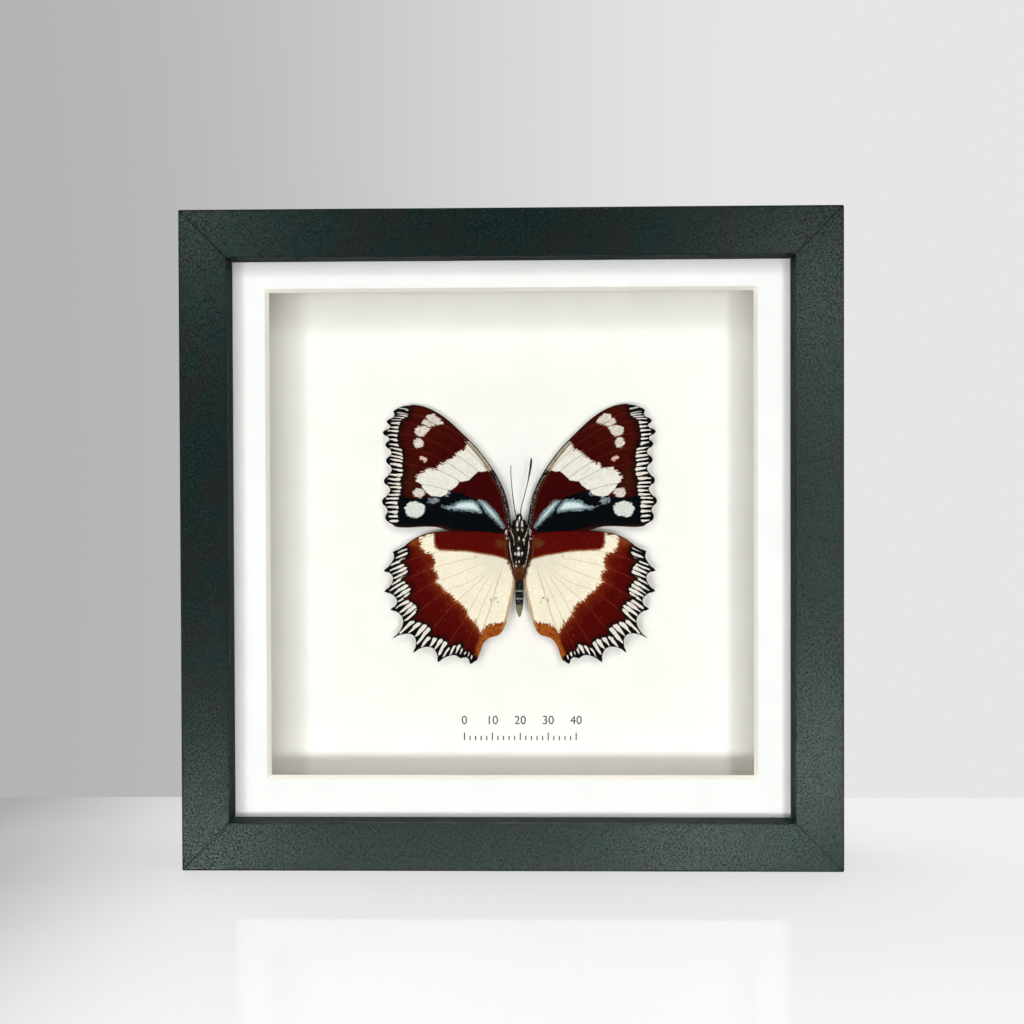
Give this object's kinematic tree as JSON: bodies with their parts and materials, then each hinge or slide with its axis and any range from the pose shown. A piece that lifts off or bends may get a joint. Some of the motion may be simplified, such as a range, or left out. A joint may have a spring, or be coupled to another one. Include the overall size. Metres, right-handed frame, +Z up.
{
  "type": "framed butterfly specimen",
  "caption": "Set butterfly, underside to the front, mounted on a white board inside a deep square black box frame with a white window mat and a glass pane.",
  "frame": {"origin": "centre of the frame's footprint, on the surface that it stands on", "axes": "+X to the right seen from the front, +Y towards the back, +Z up; the glass faces -Y"},
  "size_m": [0.22, 0.044, 0.22],
  "materials": {
    "frame_moulding": "satin black lacquer on wood fibre, finely mottled",
    "pane": "clear float glass",
    "mat_card": "white mount card, matt, cream core at the bevel",
    "foam": "white foam board",
    "board": "smooth warm white board",
    "hardboard": "brown hardboard, smooth side out",
    "steel": "zinc-plated",
    "forewing": "maroon scales with a white band, white spots, a black field and pale blue streaks",
    "hindwing": "cream scales with a brick-maroon border and a striped, toothed black and white edge",
    "body": "dark brown chitin with white hair tufts",
    "legs": "pale scaled legs"
  },
  "bodies": {
    "root": {"rail_bottom": "frame_moulding", "rail_right": "frame_moulding", "rail_top": "frame_moulding", "rail_left": "frame_moulding", "retaining_point_bottom_1": "steel", "retaining_point_bottom_2": "steel", "retaining_point_right_1": "steel", "retaining_point_right_2": "steel", "retaining_point_top_1": "steel", "retaining_point_top_2": "steel", "retaining_point_left_1": "steel", "retaining_point_left_2": "steel", "glass_pane": "pane", "backing_board": "board", "back_panel": "hardboard", "window_mat": "mat_card", "spacer_top": "foam", "spacer_bottom": "foam", "spacer_right": "foam", "spacer_left": "foam", "sawtooth_hanger": "steel", "hanger_nail_left": "steel", "hanger_nail_right": "steel", "foam_riser": "foam", "forewing_right": "forewing", "hindwing_right": "hindwing", "forewing_left": "forewing", "hindwing_left": "hindwing", "thorax": "body", "abdomen": "body", "head": "body", "antenna_right": "body", "antenna_left": "body", "hind_leg_right": "legs", "middle_leg_right": "legs", "hind_leg_left": "legs", "middle_leg_left": "legs"}
  },
  "joints": []
}
